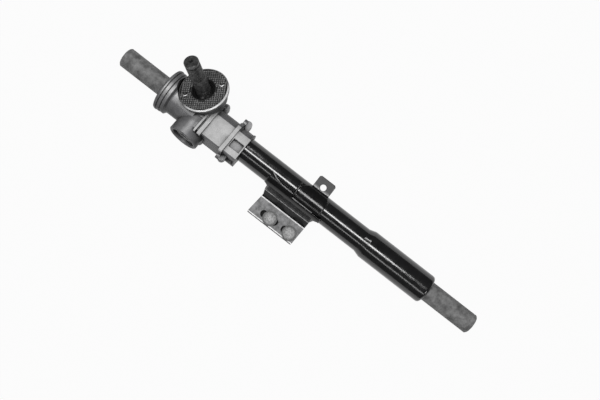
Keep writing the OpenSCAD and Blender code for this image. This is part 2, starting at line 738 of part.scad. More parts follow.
module bearing_outer_race() {
    color(colour_steel) on_pinion_axis() difference() {
        translate([0, 0, bearing_from]) ring(bearing_r, race_mid + race_gap, bearing_w);
        ball_track();
    }
}

module bearing_inner_race() {
    color(colour_steel) on_pinion_axis() difference() {
        translate([0, 0, bearing_from]) ring(race_mid - race_gap, journal_r + fine, bearing_w);
        ball_track();
    }
}

module bearing_balls() {
    color("white") on_pinion_axis() at_balls() sphere(d = ball_d, $fn = 32);
}

module bearing_cage() {
    color("#b08d57") on_pinion_axis() difference() {
        translate([0, 0, bearing_from + bearing_w / 2 - cage_w / 2])
            ring(race_mid + 0.5 * race_gap, race_mid - 0.5 * race_gap, cage_w);
        at_balls() rotate([0, 90, 0]) cylinder(h = 2 * race_gap, d = ball_d + 2 * running, center = true);
    }
}

module bearing_circlip() {
    color(colour_steel) on_pinion_axis() translate([0, 0, bearing_to + fine]) difference() {
        ring(journal_r + 1.8, journal_r - 0.6, circlip_t);
        translate([0, -1.5, -past]) cube([2 * journal_r, 3, circlip_t + 2 * past]);
    }
}

module lower_bush() {
    color("#b08d57") on_pinion_axis() translate([0, 0, bush_to])
        ring(bush_r, lower_journal_d / 2 + running, bush_len);
}

module bore_plug() {
    color(colour_steel) on_pinion_axis() translate([0, 0, tower_bottom + 0.8]) difference() {
        cylinder(h = bore_plug_t - 0.8, r = plug_bore_r);
        translate([0, 0, -past]) cylinder(h = past + 0.8, r = plug_bore_r - 1.6);
    }
}

// One rack tooth space, open towards +Y, centred on X = 0.
module tooth_space() {
    slope = tan(pressure_angle);
    middle_y = tooth_tip_y - normal_module;
    half = pitch / 4;
    function half_at(y) = half + (y - middle_y) * slope;
    above = tooth_tip_y + past;
    translate([0, 0, -rack_r - past]) linear_extrude(2 * (rack_r + past)) polygon([
        [-half_at(tooth_root_y), tooth_root_y], [half_at(tooth_root_y), tooth_root_y],
        [half_at(above), above], [-half_at(above), above]
    ]);
}

module rack_bar() {
    c = rack_chamfer;
    first = -ceil(teeth_left / pitch);
    last = ceil(teeth_right / pitch);
    color("darkgray") tilted() difference() {
        along_x(-rack_left) rotate_extrude() polygon([
            [0, 0], [rack_r - c, 0], [rack_r, c], [rack_r, rack_len - c], [rack_r - c, rack_len], [0, rack_len]
        ]);
        for (k = [first : last]) translate([k * pitch, 0, 0]) tooth_space();
        translate([(first - 0.5) * pitch, tooth_tip_y, -rack_r - past])
            cube([(last - first + 1) * pitch, rack_r, 2 * (rack_r + past)]);
        for (end = [0, 1]) translate([end == 0 ? -rack_left : rack_len - rack_left, 0, 0])
            rotate([0, end == 0 ? 90 : -90, 0]) {
                translate([0, 0, -past]) cylinder(h = tie_thread_depth + past, d = tie_thread_d);
                translate([0, 0, -0.01]) cylinder(h = 1.4, d1 = tie_thread_d + 2.8, d2 = tie_thread_d);
            }
    }
}

// Involute outline of the pinion, with a tooth centred on the X axis.
function involute(a) = tan(a) * 180 / PI - a;
half_tooth = 90 / pinion_teeth + (2 * profile_shift * tan(pressure_angle) / pinion_teeth) * 180 / PI
    + involute(transverse_angle) - (backlash / 2 / pitch_r) * 90 / PI;
flank_from = max(base_r, pinion_root_r);
function flank_angle(r) = half_tooth - involute(acos(min(1, base_r / r)));
function polar(r, a) = r * [cos(a), sin(a)];
flank_steps = 5;
pinion_outline = [
    for (k = [0 : pinion_teeth - 1])
        let (mid = 360 * k / pinion_teeth, gap = 180 / pinion_teeth)
            each concat(
                [polar(pinion_root_r, mid - gap), polar(pinion_root_r, mid - half_tooth)],
                [for (i = [0 : flank_steps])
                    let (r = flank_from + (pinion_tip_r - flank_from) * i / flank_steps)
                        polar(r, mid - flank_angle(r))],
                [for (i = [flank_steps : -1 : 0])
                    let (r = flank_from + (pinion_tip_r - flank_from) * i / flank_steps)
                        polar(r, mid + flank_angle(r))],
                [polar(pinion_root_r, mid + half_tooth)]
            )
];

module helical_teeth() {
    lead = tan(skew_angle) / pitch_r * 180 / PI;
    face = 2 * pinion_half_face;
    translate([0, 0, -pinion_half_face]) rotate([0, 0, -90 - lead * pinion_half_face])
        linear_extrude(height = face, twist = -lead * face, slices = 14) polygon(pinion_outline);
}

module serrations(h) {
    r = upper_shaft_d / 2 - 0.05;
    step = 360 / serration_count;
    linear_extrude(h) polygon([
        for (i = [0 : serration_count - 1]) each [
            polar(r, (i - 0.12) * step), polar(r, (i + 0.12) * step),
            polar(r - serration_depth, (i + 0.5) * step)
        ]
    ]);
}

// Pinion and input shaft in one forging: lower journal, teeth, bearing journal and serrations.
module pinion_shaft() {
    low = bush_to - 0.4;
    core_r = pinion_root_r - 0.5;
    collar_r = pinion_tip_r - 1;
    collar_from = pinion_half_face - 0.3;
    collar_to = pinion_half_face + 1.3;
    upper_r = upper_shaft_d / 2;
    shoulder = nut_top + 3;
    groove_at = shaft_tip - 3.4 - clamp_groove_w;
    serration_from = groove_at - serration_len;
    color("dimgray") on_pinion_axis() difference() {
        union() {
            helical_teeth();
            rotate_extrude() polygon([
                [0, low], [lower_journal_d / 2 - 0.8, low], [lower_journal_d / 2, low + 0.8],
                [lower_journal_d / 2, -collar_to], [collar_r - 0.6, -collar_to],
                [collar_r, 0.6 - collar_to], [collar_r, -collar_from], [core_r, -collar_from],
                [core_r, collar_from], [collar_r, collar_from], [collar_r, collar_to - 0.6],
                [collar_r - 0.6, collar_to], [journal_r + 1.2, collar_to],
                [journal_r + 1.2, bearing_from - fine], [journal_r, bearing_from - fine],
                [journal_r, bearing_to + fine], [journal_r - 0.6 - fine, bearing_to + fine],
                [journal_r - 0.6 - fine, bearing_to + circlip_t + 2 * fine], [journal_r, bearing_to + circlip_t + 2 * fine],
                [journal_r, shoulder], [upper_r, shoulder + 1], [upper_r, serration_from],
                [upper_r - serration_depth - 0.4, serration_from], [upper_r - serration_depth - 0.4, groove_at],
                [upper_r - clamp_groove_depth, groove_at], [upper_r - clamp_groove_depth, groove_at + clamp_groove_w],
                [upper_r, groove_at + clamp_groove_w], [upper_r, shaft_tip - 1], [upper_r - 1, shaft_tip],
                [0, shaft_tip]
            ]);
            translate([0, 0, serration_from - 0.3]) serrations(serration_len + 0.29);
        }
        translate([0, 0, shaft_tip - 3]) cylinder(h = 3.1, r1 = 0.6, r2 = 2.2);
    }
}

pinion_housing();
rack_tube();
mounting_bracket();
side_tab();
bracket_bolts();
bracket_washers();
thrust_yoke();
yoke_liner();
yoke_o_ring();
yoke_spring();
adjuster_plug();
ring_nut();
shaft_seal();
bearing_outer_race();
bearing_balls();
bearing_cage();
lower_bush();
bore_plug();
rack_bush();
bush_ring();
rack_bar();
pinion_shaft();
bearing_inner_race();
bearing_circlip();
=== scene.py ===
import json
import math
import random

import bmesh
import bpy
from mathutils import Matrix, Vector


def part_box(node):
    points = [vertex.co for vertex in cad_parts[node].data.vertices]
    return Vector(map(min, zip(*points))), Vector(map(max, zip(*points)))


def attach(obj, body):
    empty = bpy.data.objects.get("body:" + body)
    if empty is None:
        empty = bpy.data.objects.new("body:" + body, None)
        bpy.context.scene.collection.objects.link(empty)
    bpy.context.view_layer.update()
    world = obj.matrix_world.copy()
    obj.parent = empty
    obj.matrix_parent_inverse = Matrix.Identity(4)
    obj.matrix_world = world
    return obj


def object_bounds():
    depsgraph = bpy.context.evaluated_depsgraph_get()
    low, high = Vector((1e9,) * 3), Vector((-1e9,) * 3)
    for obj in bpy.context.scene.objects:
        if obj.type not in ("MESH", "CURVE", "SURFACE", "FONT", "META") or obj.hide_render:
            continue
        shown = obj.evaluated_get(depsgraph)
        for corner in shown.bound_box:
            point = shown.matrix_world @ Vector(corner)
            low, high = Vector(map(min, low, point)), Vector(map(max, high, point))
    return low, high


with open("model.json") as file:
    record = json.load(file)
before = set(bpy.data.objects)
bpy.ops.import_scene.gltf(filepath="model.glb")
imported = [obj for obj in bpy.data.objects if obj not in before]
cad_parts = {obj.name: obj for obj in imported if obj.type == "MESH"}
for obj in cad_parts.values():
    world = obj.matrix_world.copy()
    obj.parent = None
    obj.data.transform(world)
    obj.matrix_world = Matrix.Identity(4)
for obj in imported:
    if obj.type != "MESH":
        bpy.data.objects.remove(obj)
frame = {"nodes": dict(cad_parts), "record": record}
cad_box = [list(corner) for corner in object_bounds()]
nodes = frame["nodes"]


# Camera. It looks straight down on the rack from 0.8 m above the rack's axis, and is
# rolled so that the rack runs from the upper left of the picture to the lower right.
scene = bpy.context.scene
scene.view_settings.view_transform = "Standard"
rack_low, rack_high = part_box("rack_bar")
rack_middle = (rack_low + rack_high) / 2
camera_height = 0.800
camera_x = 0.0005
camera_y = 0.0382
camera_roll = math.radians(37.83)
view_width = 0.681
sensor_width = 36.0

camera = bpy.data.objects.new("camera", bpy.data.cameras.new("camera"))
camera.data.sensor_width = sensor_width
camera.data.lens = sensor_width * camera_height / view_width
camera.location = (camera_x, camera_y, rack_middle.z + camera_height)
camera.rotation_euler = (0, 0, camera_roll)
scene.collection.objects.link(camera)
scene.camera = camera


# Studio. A wide pale floor, a dim sky, and four lamps: a long strip overhead that draws the
# bright line on the black tube, a dimmer strip from the bracket's side that draws the second
# line, and two soft boxes, one at the housing's end and one low at the tube's free end.
def linear(code):
    """Linear RGBA of an sRGB hex colour such as #808080."""
    channels = [int(code[i : i + 2], 16) / 255 for i in (1, 3, 5)]
    return [c / 12.92 if c <= 0.04045 else ((c + 0.055) / 1.055) ** 2.4 for c in channels] + [1.0]


def add(tree, kind, inputs=None, **settings):
    """Adds a node with its settings. An input that is a node or a socket is linked, any other is set."""
    made = tree.nodes.new(kind)
    for name, value in settings.items():
        setattr(made, name, value)
    for name, value in (inputs or {}).items():
        source = value.outputs[0] if isinstance(value, bpy.types.Node) else value
        if isinstance(source, bpy.types.NodeSocket):
            tree.links.new(source, made.inputs[name])
        else:
            made.inputs[name].default_value = value
    return made


sky_strength = 0.11
world = bpy.data.worlds.new("studio")
world.use_nodes = True
world.node_tree.nodes["Background"].inputs["Color"].default_value = linear("#ffffff")
world.node_tree.nodes["Background"].inputs["Strength"].default_value = sky_strength
scene.world = world

floor_half = 60.0
floor_white = 0.96
floor_mesh = bpy.data.meshes.new("floor")
shape = bmesh.new()
bmesh.ops.create_grid(shape, x_segments=1, y_segments=1, size=floor_half)
bmesh.ops.translate(shape, verts=shape.verts, vec=(0, 0, cad_box[0][2]))
shape.to_mesh(floor_mesh)
shape.free()
floor = bpy.data.objects.new("floor", floor_mesh)
scene.collection.objects.link(floor)
paper = bpy.data.materials.new("studio_paper")
paper.use_nodes = True
tree = paper.node_tree
tree.nodes.clear()
rays = add(tree, "ShaderNodeLightPath").outputs
seen = add(tree, "ShaderNodeMath", {0: rays["Is Camera Ray"], 1: rays["Is Glossy Ray"]},
           operation="MAXIMUM")
seen = add(tree, "ShaderNodeMath", {0: seen, 1: rays["Is Transmission Ray"]}, operation="MAXIMUM")
share = add(tree, "ShaderNodeMath", {0: seen, 1: floor_white}, operation="MULTIPLY")
matt = add(tree, "ShaderNodeBsdfDiffuse", {"Color": linear("#909090")})
glow = add(tree, "ShaderNodeEmission", {"Color": linear("#ffffff"), "Strength": 1.0})
mixed = add(tree, "ShaderNodeMixShader", {0: share, 1: matt, 2: glow})
add(tree, "ShaderNodeOutputMaterial", {"Surface": mixed})
floor_mesh.materials.append(paper)


def lamp(name, lean, distance, length, width, radiance, turn=0, shift=0):
    """A lamp aimed at the rack, and how bright its face is.

    It stands overhead, leans by so many degrees towards +Y, is then turned about the vertical,
    and may be shifted along the rack.
    """
    light = bpy.data.lights.new(name, "AREA")
    light.shape = "RECTANGLE"
    light.size = length
    light.size_y = width
    light.energy = radiance * math.pi * length * width
    made = bpy.data.objects.new(name, light)
    turned = Matrix.Rotation(math.radians(turn), 3, "Z")
    aim = turned @ Matrix.Rotation(math.radians(-lean), 3, "X")
    made.location = rack_middle + distance * (aim @ Vector((0, 0, 1))) + Vector((shift, 0, 0))
    made.rotation_euler = aim.to_euler()
    scene.collection.objects.link(made)


lamp("key_strip", lean=5, distance=1.5, length=1.16, width=0.23, radiance=17, shift=-0.19)
lamp("side_strip", lean=-38, distance=1.5, length=1.5, width=0.13, radiance=5)
lamp("seat_box", lean=36.7, distance=1.53, length=0.3, width=0.3, radiance=17, turn=28.6)
lamp("end_box", lean=45, distance=1.5, length=0.5, width=0.5, radiance=5, turn=-110)


# Pinion housing. A die casting in aluminium, blasted to a satin grey, with its grain drawn
# coarse enough to show. Its tone follows how steep a surface is, as painted light and shade:
# faces that point up carry a painted highlight and steep flanks a painted shade. The clamp's
# seat is rubbed bright, and inner corners are darkened by ambient occlusion, a painted shade.
def new_finish(name):
    """A new material, its empty node tree and the coordinates of the piece that wears it."""
    material = bpy.data.materials.new(name)
    material.use_nodes = True
    tree = material.node_tree
    tree.nodes.clear()
    return material, tree, add(tree, "ShaderNodeTexCoord").outputs["Object"]


def mottled(tree, place, size, low, high, low_at=0.3, high_at=0.7, detail=5.0, roughness=0.65):
    """A colour that drifts between two hex colours, and the cloudy pattern that it follows.

    The patches are so many millimetres across.
    """
    pattern = add(tree, "ShaderNodeTexNoise", {"Vector": place, "Scale": 1000 / size,
                                               "Detail": detail, "Roughness": roughness})
    colour = add(tree, "ShaderNodeValToRGB", {"Fac": pattern})
    for tone, position, code in zip(colour.color_ramp.elements, (low_at, high_at), (low, high)):
        tone.position = position
        tone.color = linear(code)
    return colour, pattern


def inside(tree, *limits):
    """A mask that is one where each value lies between its two limits, with soft ends outside."""
    mask = 1.0
    for value, low, high, soft in limits:
        rise = add(tree, "ShaderNodeMapRange", {"Value": value, "From Min": low - soft, "From Max": low})
        fall = add(tree, "ShaderNodeMapRange", {"Value": value, "From Min": high, "From Max": high + soft,
                                                "To Min": 1.0, "To Max": 0.0})
        band = add(tree, "ShaderNodeMath", {0: rise, 1: fall}, operation="MULTIPLY")
        mask = add(tree, "ShaderNodeMath", {0: mask, 1: band}, operation="MULTIPLY")
    return mask


def laid_over(tree, mask, coat, layers):
    """A coat with a layer laid over it by a mask, such as wear, a painted highlight or a painted shade.
    Both say what the surface's sockets take.
    """
    # The mixing node takes colours at 6 and 7 and gives them at 2. Numbers go in at 2 and 3.
    for socket, laid_on in layers.items():
        kind, under, over, out = ("RGBA", 6, 7, 2) if socket == "Base Color" else ("FLOAT", 2, 3, 0)
        mix = add(tree, "ShaderNodeMix", {"Factor": mask, under: coat[socket], over: laid_on}, data_type=kind)
        coat = coat | {socket: mix.outputs[out]}
    return coat


def shaded(tree, coat, value, low_at, high_at, low, high):
    """A coat made darker or paler as a value goes from one figure to another."""
    factor = add(tree, "ShaderNodeMapRange", {"Value": value, "From Min": low_at, "From Max": high_at,
                                              "To Min": low, "To Max": high})
    shade = add(tree, "ShaderNodeVectorMath", {0: coat["Base Color"], "Scale": factor},
                operation="SCALE")
    return coat | {"Base Color": shade}


def close_finish(tree, coat):
    """Ends a material with a surface that wears the coat."""
    surface = add(tree, "ShaderNodeBsdfPrincipled", coat)
    add(tree, "ShaderNodeOutputMaterial", {"Surface": surface})


def dress(name, material):
    """Gives a CAD node its finish."""
    mesh = nodes[name].data
    mesh.materials.clear()
    mesh.materials.append(material)


tube_axis_y = 0.0454
tube_axis_z = 0.0200
housing_tilt = math.radians(16)
seat_above_axis = 0.018
seat_rise = 0.0030
seat_normal = (0, math.sin(housing_tilt), math.cos(housing_tilt))
seat_level = seat_above_axis + tube_axis_y * seat_normal[1] + tube_axis_z * seat_normal[2]
block_from = -0.1400
block_to = -0.0830
casting_patch = 14
casting_grain = 0.7
corner_round = 0.0007
corner_shade_reach = 0.0060
die_cast, tree, place = new_finish("die_cast_aluminium")
skin, tone = mottled(tree, place, casting_patch, "#606062", "#848485", detail=4.0, roughness=0.6)
bright, tone = mottled(tree, place, casting_patch, "#a8a8a8", "#c2c2c2", detail=4.0, roughness=0.6)
grain = add(tree, "ShaderNodeTexNoise", {"Vector": place, "Scale": 1000 / casting_grain, "Detail": 2.0})
satin = add(tree, "ShaderNodeMapRange", {"Value": tone, "To Min": 0.36, "To Max": 0.46})
height = add(tree, "ShaderNodeVectorMath", {0: place, 1: seat_normal}, operation="DOT_PRODUCT")
axes = add(tree, "ShaderNodeSeparateXYZ", {"Vector": place}).outputs
seat = inside(tree, (height.outputs["Value"], seat_level - 0.0001, seat_level + seat_rise, 0.0001),
              (axes["X"], block_from, block_to, 0.0005))
normal = add(tree, "ShaderNodeNewGeometry").outputs["Normal"]
upward = add(tree, "ShaderNodeSeparateXYZ", {"Vector": normal}).outputs["Z"]
# Painted highlight: faces that point up get the pale tone laid over them.
painted_top_highlight = add(tree, "ShaderNodeMapRange", {"Value": upward, "From Min": 0.93, "From Max": 1.0,
                                         "To Min": 0.0, "To Max": 0.75})
# Painted shade: ambient occlusion darkens inner corners and recesses.
corner = add(tree, "ShaderNodeAmbientOcclusion", {"Distance": corner_shade_reach}, samples=8).outputs["AO"]
soft = add(tree, "ShaderNodeBevel", {"Radius": corner_round}, samples=6)
pits = add(tree, "ShaderNodeBump", {"Height": grain, "Normal": soft, "Strength": 0.3, "Distance": 0.0002})
coat = {"Base Color": skin, "Roughness": satin, "Metallic": 0.20, "Specular IOR Level": 0.2, "Normal": pits}
# Painted highlight on faces that point up.
coat = laid_over(tree, painted_top_highlight, coat, {"Base Color": bright})
# Painted shade: faces darken as they turn from pointing up towards steep flanks.
coat = shaded(tree, coat, upward, low_at=0.48, high_at=0.97, low=0.42, high=1.0)
coat = laid_over(tree, seat, coat, {"Base Color": bright, "Roughness": 0.60, "Metallic": 0.05})
coat = shaded(tree, coat, grain, low_at=0.25, high_at=0.75, low=0.86, high=1.10)
# Painted shade in the corners, from the ambient occlusion above.
coat = shaded(tree, coat, corner, low_at=0.40, high_at=0.95, low=0.06, high=1.0)
close_finish(tree, coat)
dress("pinion_housing", die_cast)


# Rack tube. A drawn steel tube, pressed into the housing and dipped in gloss black enamel, so
# it shows as near black with thin bright lines. It carries a little dust and uneven gloss.
peel_size = 4
dust_size = 9
enamel_round = 0.0012


def enamel_coat(tree, place, dark, light, gloss_low, gloss_high, specular=0.8):
    """The coat of an enamel with a slight orange peel and a film of dust."""
    colour, dust = mottled(tree, place, dust_size, dark, light, 0.35, 0.75, detail=6.0, roughness=0.7)
    gloss = add(tree, "ShaderNodeMapRange", {"Value": dust, "From Min": 0.3, "From Max": 0.7,
                                             "To Min": gloss_low, "To Max": gloss_high})
    peel = add(tree, "ShaderNodeTexNoise", {"Vector": place, "Scale": 1000 / peel_size, "Detail": 1.0})
    soft = add(tree, "ShaderNodeBevel", {"Radius": enamel_round}, samples=8)
    runs = add(tree, "ShaderNodeBump", {"Height": peel, "Normal": soft, "Strength": 0.12,
                                        "Distance": 0.0003})
    return {"Base Color": colour, "Roughness": gloss, "Specular IOR Level": specular, "Normal": runs}


enamel, tree, place = new_finish("gloss_black_enamel")
close_finish(tree, enamel_coat(tree, place, "#0a0a0b", "#141415", 0.10, 0.22))
dress("rack_tube", enamel)


# Mounting bracket. Pressed steel sheet in the same enamel, welded to the tube. The wall and the
# saddle keep their gloss, and the floor of the slots is dull. The plate's top is rubbed grey.
# Its free edge, its fold and the bend in the wall carry painted highlights: pale lines where
# light glances off the bends.
plate_top = 0.0060
plate_fold = 0.0145
plate_free_edge = -0.0099
flat_from = plate_free_edge + 0.0028
flat_to = plate_fold - 0.0006
edge_from = plate_free_edge + 0.0013
edge_to = plate_free_edge + 0.0024
fold_from = plate_fold - 0.0002
fold_to = plate_fold + 0.0008
bend_from = 0.0232
bend_to = bend_from + 0.0006
bend_low = 0.0120
bend_high = 0.0150
slot_half = 0.0050
slot_low = plate_top - 0.0040
slot_high = plate_top - 0.0020
scuff_and_highlight_size = 5
worn_roughness = 0.46
slot_roughness = 0.9
rubbed_and_highlit_enamel, tree, place = new_finish("rubbed_and_highlit_black_enamel")
axes = add(tree, "ShaderNodeSeparateXYZ", {"Vector": place}).outputs
# The bend, edge and fold masks place painted highlights, pale lines where light glances off the bends.
bend_highlight = inside(tree, (axes["Y"], bend_from, bend_to, 0.0002), (axes["Z"], bend_low, bend_high, 0.0003))
flat = inside(tree, (axes["Z"], plate_top - 0.0002, plate_top + 0.0003, 0.0001),
              (axes["Y"], flat_from, flat_to, 0.0004))
edge_highlight = inside(tree, (axes["Y"], edge_from, edge_to, 0.0002),
              (axes["Z"], plate_top - 0.0013, plate_top + 0.0002, 0.0002))
fold_highlight = inside(tree, (axes["Y"], fold_from, fold_to, 0.0003),
              (axes["Z"], plate_top - 0.0001, plate_top + 0.0005, 0.0002))
slots = inside(tree, (axes["Z"], slot_low, slot_high, 0.0003), (axes["Y"], -slot_half, slot_half, 0.0002))
# Painted highlights for the bend, the free edge and the fold; the grey of the flat is wear.
painted_bend_highlight, scuff_and_highlight_pattern = mottled(tree, place, scuff_and_highlight_size, "#585858", "#d0d0d0", 0.3, 0.6)
dull_flat, scuff_and_highlight_pattern = mottled(tree, place, scuff_and_highlight_size, "#4a4a4b", "#828283", 0.35, 0.65)
painted_edge_highlight, scuff_and_highlight_pattern = mottled(tree, place, scuff_and_highlight_size, "#e4e4e4", "#ffffff", 0.35, 0.6)
painted_fold_highlight, scuff_and_highlight_pattern = mottled(tree, place, scuff_and_highlight_size, "#c0c0c0", "#f0f0f0", 0.35, 0.6)
coat = enamel_coat(tree, place, "#080809", "#121213", 0.12, 0.24, specular=0.45)
coat = laid_over(tree, bend_highlight, coat, {"Base Color": painted_bend_highlight})
coat = laid_over(tree, flat, coat, {"Base Color": dull_flat, "Roughness": worn_roughness})
coat = laid_over(tree, edge_highlight, coat, {"Base Color": painted_edge_highlight})
coat = laid_over(tree, fold_highlight, coat, {"Base Color": painted_fold_highlight})
coat = laid_over(tree, slots, coat, {"Roughness": slot_roughness})
close_finish(tree, coat)
dress("mounting_bracket", rubbed_and_highlit_enamel)


# Side tab. A pressed steel strap in the same enamel, welded over the tube. The tab that stands
# out beside the tube is rubbed to a dull dark grey.
tab_from = 0.0630
strap_enamel, tree, place = new_finish("dull_black_enamel")
axes = add(tree, "ShaderNodeSeparateXYZ", {"Vector": place}).outputs
tab = add(tree, "ShaderNodeMapRange", {"Value": axes["Y"], "From Min": tab_from - 0.002,
                                       "From Max": tab_from + 0.001})
dull_tab, scuff_and_highlight_pattern = mottled(tree, place, scuff_and_highlight_size, "#161617", "#2a2a2b")
coat = enamel_coat(tree, place, "#080809", "#121213", 0.12, 0.24, specular=0.45)
coat = laid_over(tree, tab, coat, {"Base Color": dull_tab, "Roughness": worn_roughness})
close_finish(tree, coat)
dress("side_tab", strap_enamel)


# Weld beads. Gas-shielded fillet welds that hold the saddle and the strap to the tube, under
# the enamel. Each is a rippled bead laid along the edge that it closes, tapered at both ends.
# The two beads that lie highest are painted pale, a painted highlight along their crests.
tube_radius = 0.0150
bead_sides = 12
bead_step = 0.0003
ripple_length = 0.0012
ripple_depth = 0.08
highlit_bead_radius = 0.0006


def on_tube(x, angle, lift):
    """Point beside the tube, and the way out from its axis, so many degrees round from +Y."""
    turn = math.radians(angle)
    outward = Vector((0, math.cos(turn), math.sin(turn)))
    return Vector((x, tube_axis_y, tube_axis_z)) + (tube_radius + lift) * outward, outward


def piece_from(name, shape, material):
    """A finished shape as a new piece of the scene."""
    mesh = bpy.data.meshes.new(name)
    shape.to_mesh(mesh)
    shape.free()
    mesh.materials.append(material)
    piece = bpy.data.objects.new(name, mesh)
    scene.collection.objects.link(piece)
    return piece


def weld(name, corners, lift, bead_radius=0.0013, coat=enamel):
    """A bead from corner to corner, each given by its X along the tube and its angle round it."""
    line = []
    for (x0, a0), (x1, a1) in zip(corners, corners[1:]):
        length = math.hypot(x1 - x0, math.radians(a1 - a0) * tube_radius)
        count = max(2, round(length / bead_step))
        for i in range(count):
            line.append(on_tube(x0 + (x1 - x0) * i / count, a0 + (a1 - a0) * i / count, lift))
    line.append(on_tube(*corners[-1], lift))
    bead = bmesh.new()
    rings = []
    last = len(line) - 1
    turns = [math.tau * side / bead_sides for side in range(bead_sides)]
    for step, (centre, outward) in enumerate(line):
        ahead = line[min(step + 1, last)][0] - line[max(step - 1, 0)][0]
        across = ahead.normalized().cross(outward)
        taper = min(1.0, (min(step, last - step) + 0.5) * bead_step / bead_radius)
        ripple = 1 + ripple_depth * math.cos(math.tau * step * bead_step / ripple_length)
        size = bead_radius * ripple * math.sqrt(taper)
        ring = [centre + size * (math.cos(turn) * across + math.sin(turn) * outward) for turn in turns]
        rings.append([bead.verts.new(point) for point in ring])
    for near, far in zip(rings, rings[1:]):
        for side in range(bead_sides):
            following = (side + 1) % bead_sides
            bead.faces.new((near[side], near[following], far[following], far[side]))
    bead.faces.new(rings[0])
    bead.faces.new(rings[-1])
    bmesh.ops.recalc_face_normals(bead, faces=bead.faces)
    for face in bead.faces:
        face.smooth = True
    piece = piece_from(name, bead, coat)
    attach(piece, "housing")


# Painted highlight: the two highest beads are coloured pale along their crests.
highlit_bead, tree, place = new_finish("painted_highlight_bead_enamel")
close_finish(tree, enamel_coat(tree, place, "#303030", "#b0b0b0", 0.30, 0.40))
saddle_top = [(-0.0420, 92), (-0.0350, 102), (-0.0260, 110), (-0.0096, 112)]
strap_foot = [(-0.0080, 127), (0.0200, 128)]
weld("saddle_weld_left", [(-0.0430, 118), (-0.0430, 160)], lift=0.0008)
weld("saddle_weld_top", saddle_top, lift=0.0026, bead_radius=highlit_bead_radius, coat=highlit_bead)
weld("saddle_weld_right", [(0.0316, 132), (0.0316, 160)], lift=0.0008)
weld("strap_weld_left", [(-0.0090, 52), (-0.0090, 120)], lift=0.0006)
weld("strap_weld_foot", strap_foot, lift=0.0024, bead_radius=highlit_bead_radius, coat=highlit_bead)
weld("strap_weld_right", [(0.0270, 52), (0.0270, 122)], lift=0.0006)


# Rack bar. A drawn and ground steel bar with milled teeth, lightly phosphated. Its ends are a
# mottled matt mid grey.
grit_size = 0.6


def plain_finish(name, low, high, metallic, roughness, patch=4):
    """A plain metal, rubber or plastic, with slow changes of tone and a grain that just shows."""
    material, tree, place = new_finish(name)
    colour, tone = mottled(tree, place, patch, low, high)
    sheen = add(tree, "ShaderNodeMapRange", {"Value": tone, "To Min": roughness - 0.05,
                                             "To Max": roughness + 0.08})
    grain = add(tree, "ShaderNodeTexNoise", {"Vector": place, "Scale": 1000 / grit_size, "Detail": 2.0})
    grit = add(tree, "ShaderNodeBump", {"Height": grain, "Strength": 0.15, "Distance": 0.0001})
    close_finish(tree, {"Base Color": colour, "Roughness": sheen, "Metallic": metallic, "Normal": grit})
    return material


ground_steel = plain_finish("ground_phosphated_steel", "#3c3c3c", "#828282", 0.0, 0.6, patch=8)
dress("rack_bar", ground_steel)


# Tie rod threads. Right-hand threads of 14 mm, cut into both ends of the rack bar. Each is one
# triangular ridge, wound inwards from behind the mouth of the hole.
thread_pitch = 0.0015
thread_core = 0.00625
thread_turns = 13
thread_start = 0.0026
ridge_height = 0.0008
ridge_root = 0.00012
ridge_half = 0.4
turn_steps = 28


def inner_thread(name, mouth_x, inward):
    """One thread, wound inwards from the mouth of the hole by a triangular section."""
    section = bmesh.new()
    centre = Vector((mouth_x, tube_axis_y, tube_axis_z))
    start = centre + Vector((inward * thread_start, 0, 0))
    corners = [(-ridge_half, ridge_root), (0.0, -ridge_height), (ridge_half, ridge_root)]
    loop = [section.verts.new(start + Vector((inward * share * thread_pitch, 0, thread_core + rise)))
            for share, rise in corners]
    edges = [section.edges.new(pair) for pair in zip(loop, loop[1:])]
    advance = (inward * thread_pitch / turn_steps, 0, 0)
    bmesh.ops.spin(section, geom=loop + edges, cent=centre, axis=(1, 0, 0), dvec=advance,
                   angle=math.tau * thread_turns, steps=turn_steps * thread_turns, use_merge=False)
    bmesh.ops.recalc_face_normals(section, faces=section.faces)
    piece = piece_from(name, section, ground_steel)
    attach(piece, "rack")


inner_thread("tie_rod_thread_left", rack_low.x, 1)
inner_thread("tie_rod_thread_right", rack_high.x, -1)


# Pinion shaft. Turned and hardened steel with a black oxide finish. It stands out of the ring
# nut through its seal, and shows a little shine and slow changes of tone.
black_oxide = plain_finish("black_oxide_steel", "#343434", "#6a6a6a", 0.7, 0.34, patch=4)
dress("pinion_shaft", black_oxide)


# Ring nut. Turned steel, phosphated dark grey and screwed into the pinion tower. The part of
# its rim that faces the tube is painted bright, a painted highlight on its chamfer, and the
# face between the diamonds of its knurl is painted near black, a painted shade.
joints = frame["record"]["behaviour"]["joints"]
pinion_joint = next(joint for joint in joints if joint["name"] == "pinion_turn")
lean_side = math.radians(21.5)
nut_point = Vector(pinion_joint["pos_m"])
nut_place = (Matrix.Translation(nut_point) @ Matrix.Rotation(-housing_tilt, 4, "X")
             @ Matrix.Rotation(-lean_side, 4, "Y"))
nut_axis = nut_place.to_3x3() @ Vector((0, 0, 1))
nut_top = 0.0326135
nut_patch = 4
rim_from = 0.0271
rim_to = 0.0290
rim_depth = 0.0014
groove_from = 0.0146
groove_to = 0.0264
highlight_side = Vector((0.813, -0.379, 0.442))
highlight_from = 0.006
highlight_to = 0.014
phosphated, tree, place = new_finish("phosphated_steel")
dark_steel, tone = mottled(tree, place, nut_patch, "#4c4c4c", "#686868")
painted_rim_highlight, tone = mottled(tree, place, nut_patch, "#e2e2e2", "#fafafa")
sheen = add(tree, "ShaderNodeMapRange", {"Value": tone, "To Min": 0.28, "To Max": 0.40})
outwards = add(tree, "ShaderNodeVectorMath", {0: place, 1: nut_point}, operation="SUBTRACT")
height = add(tree, "ShaderNodeVectorMath", {0: outwards, 1: nut_axis}, operation="DOT_PRODUCT")
sideways = add(tree, "ShaderNodeVectorMath", {0: outwards, 1: nut_axis}, operation="CROSS_PRODUCT")
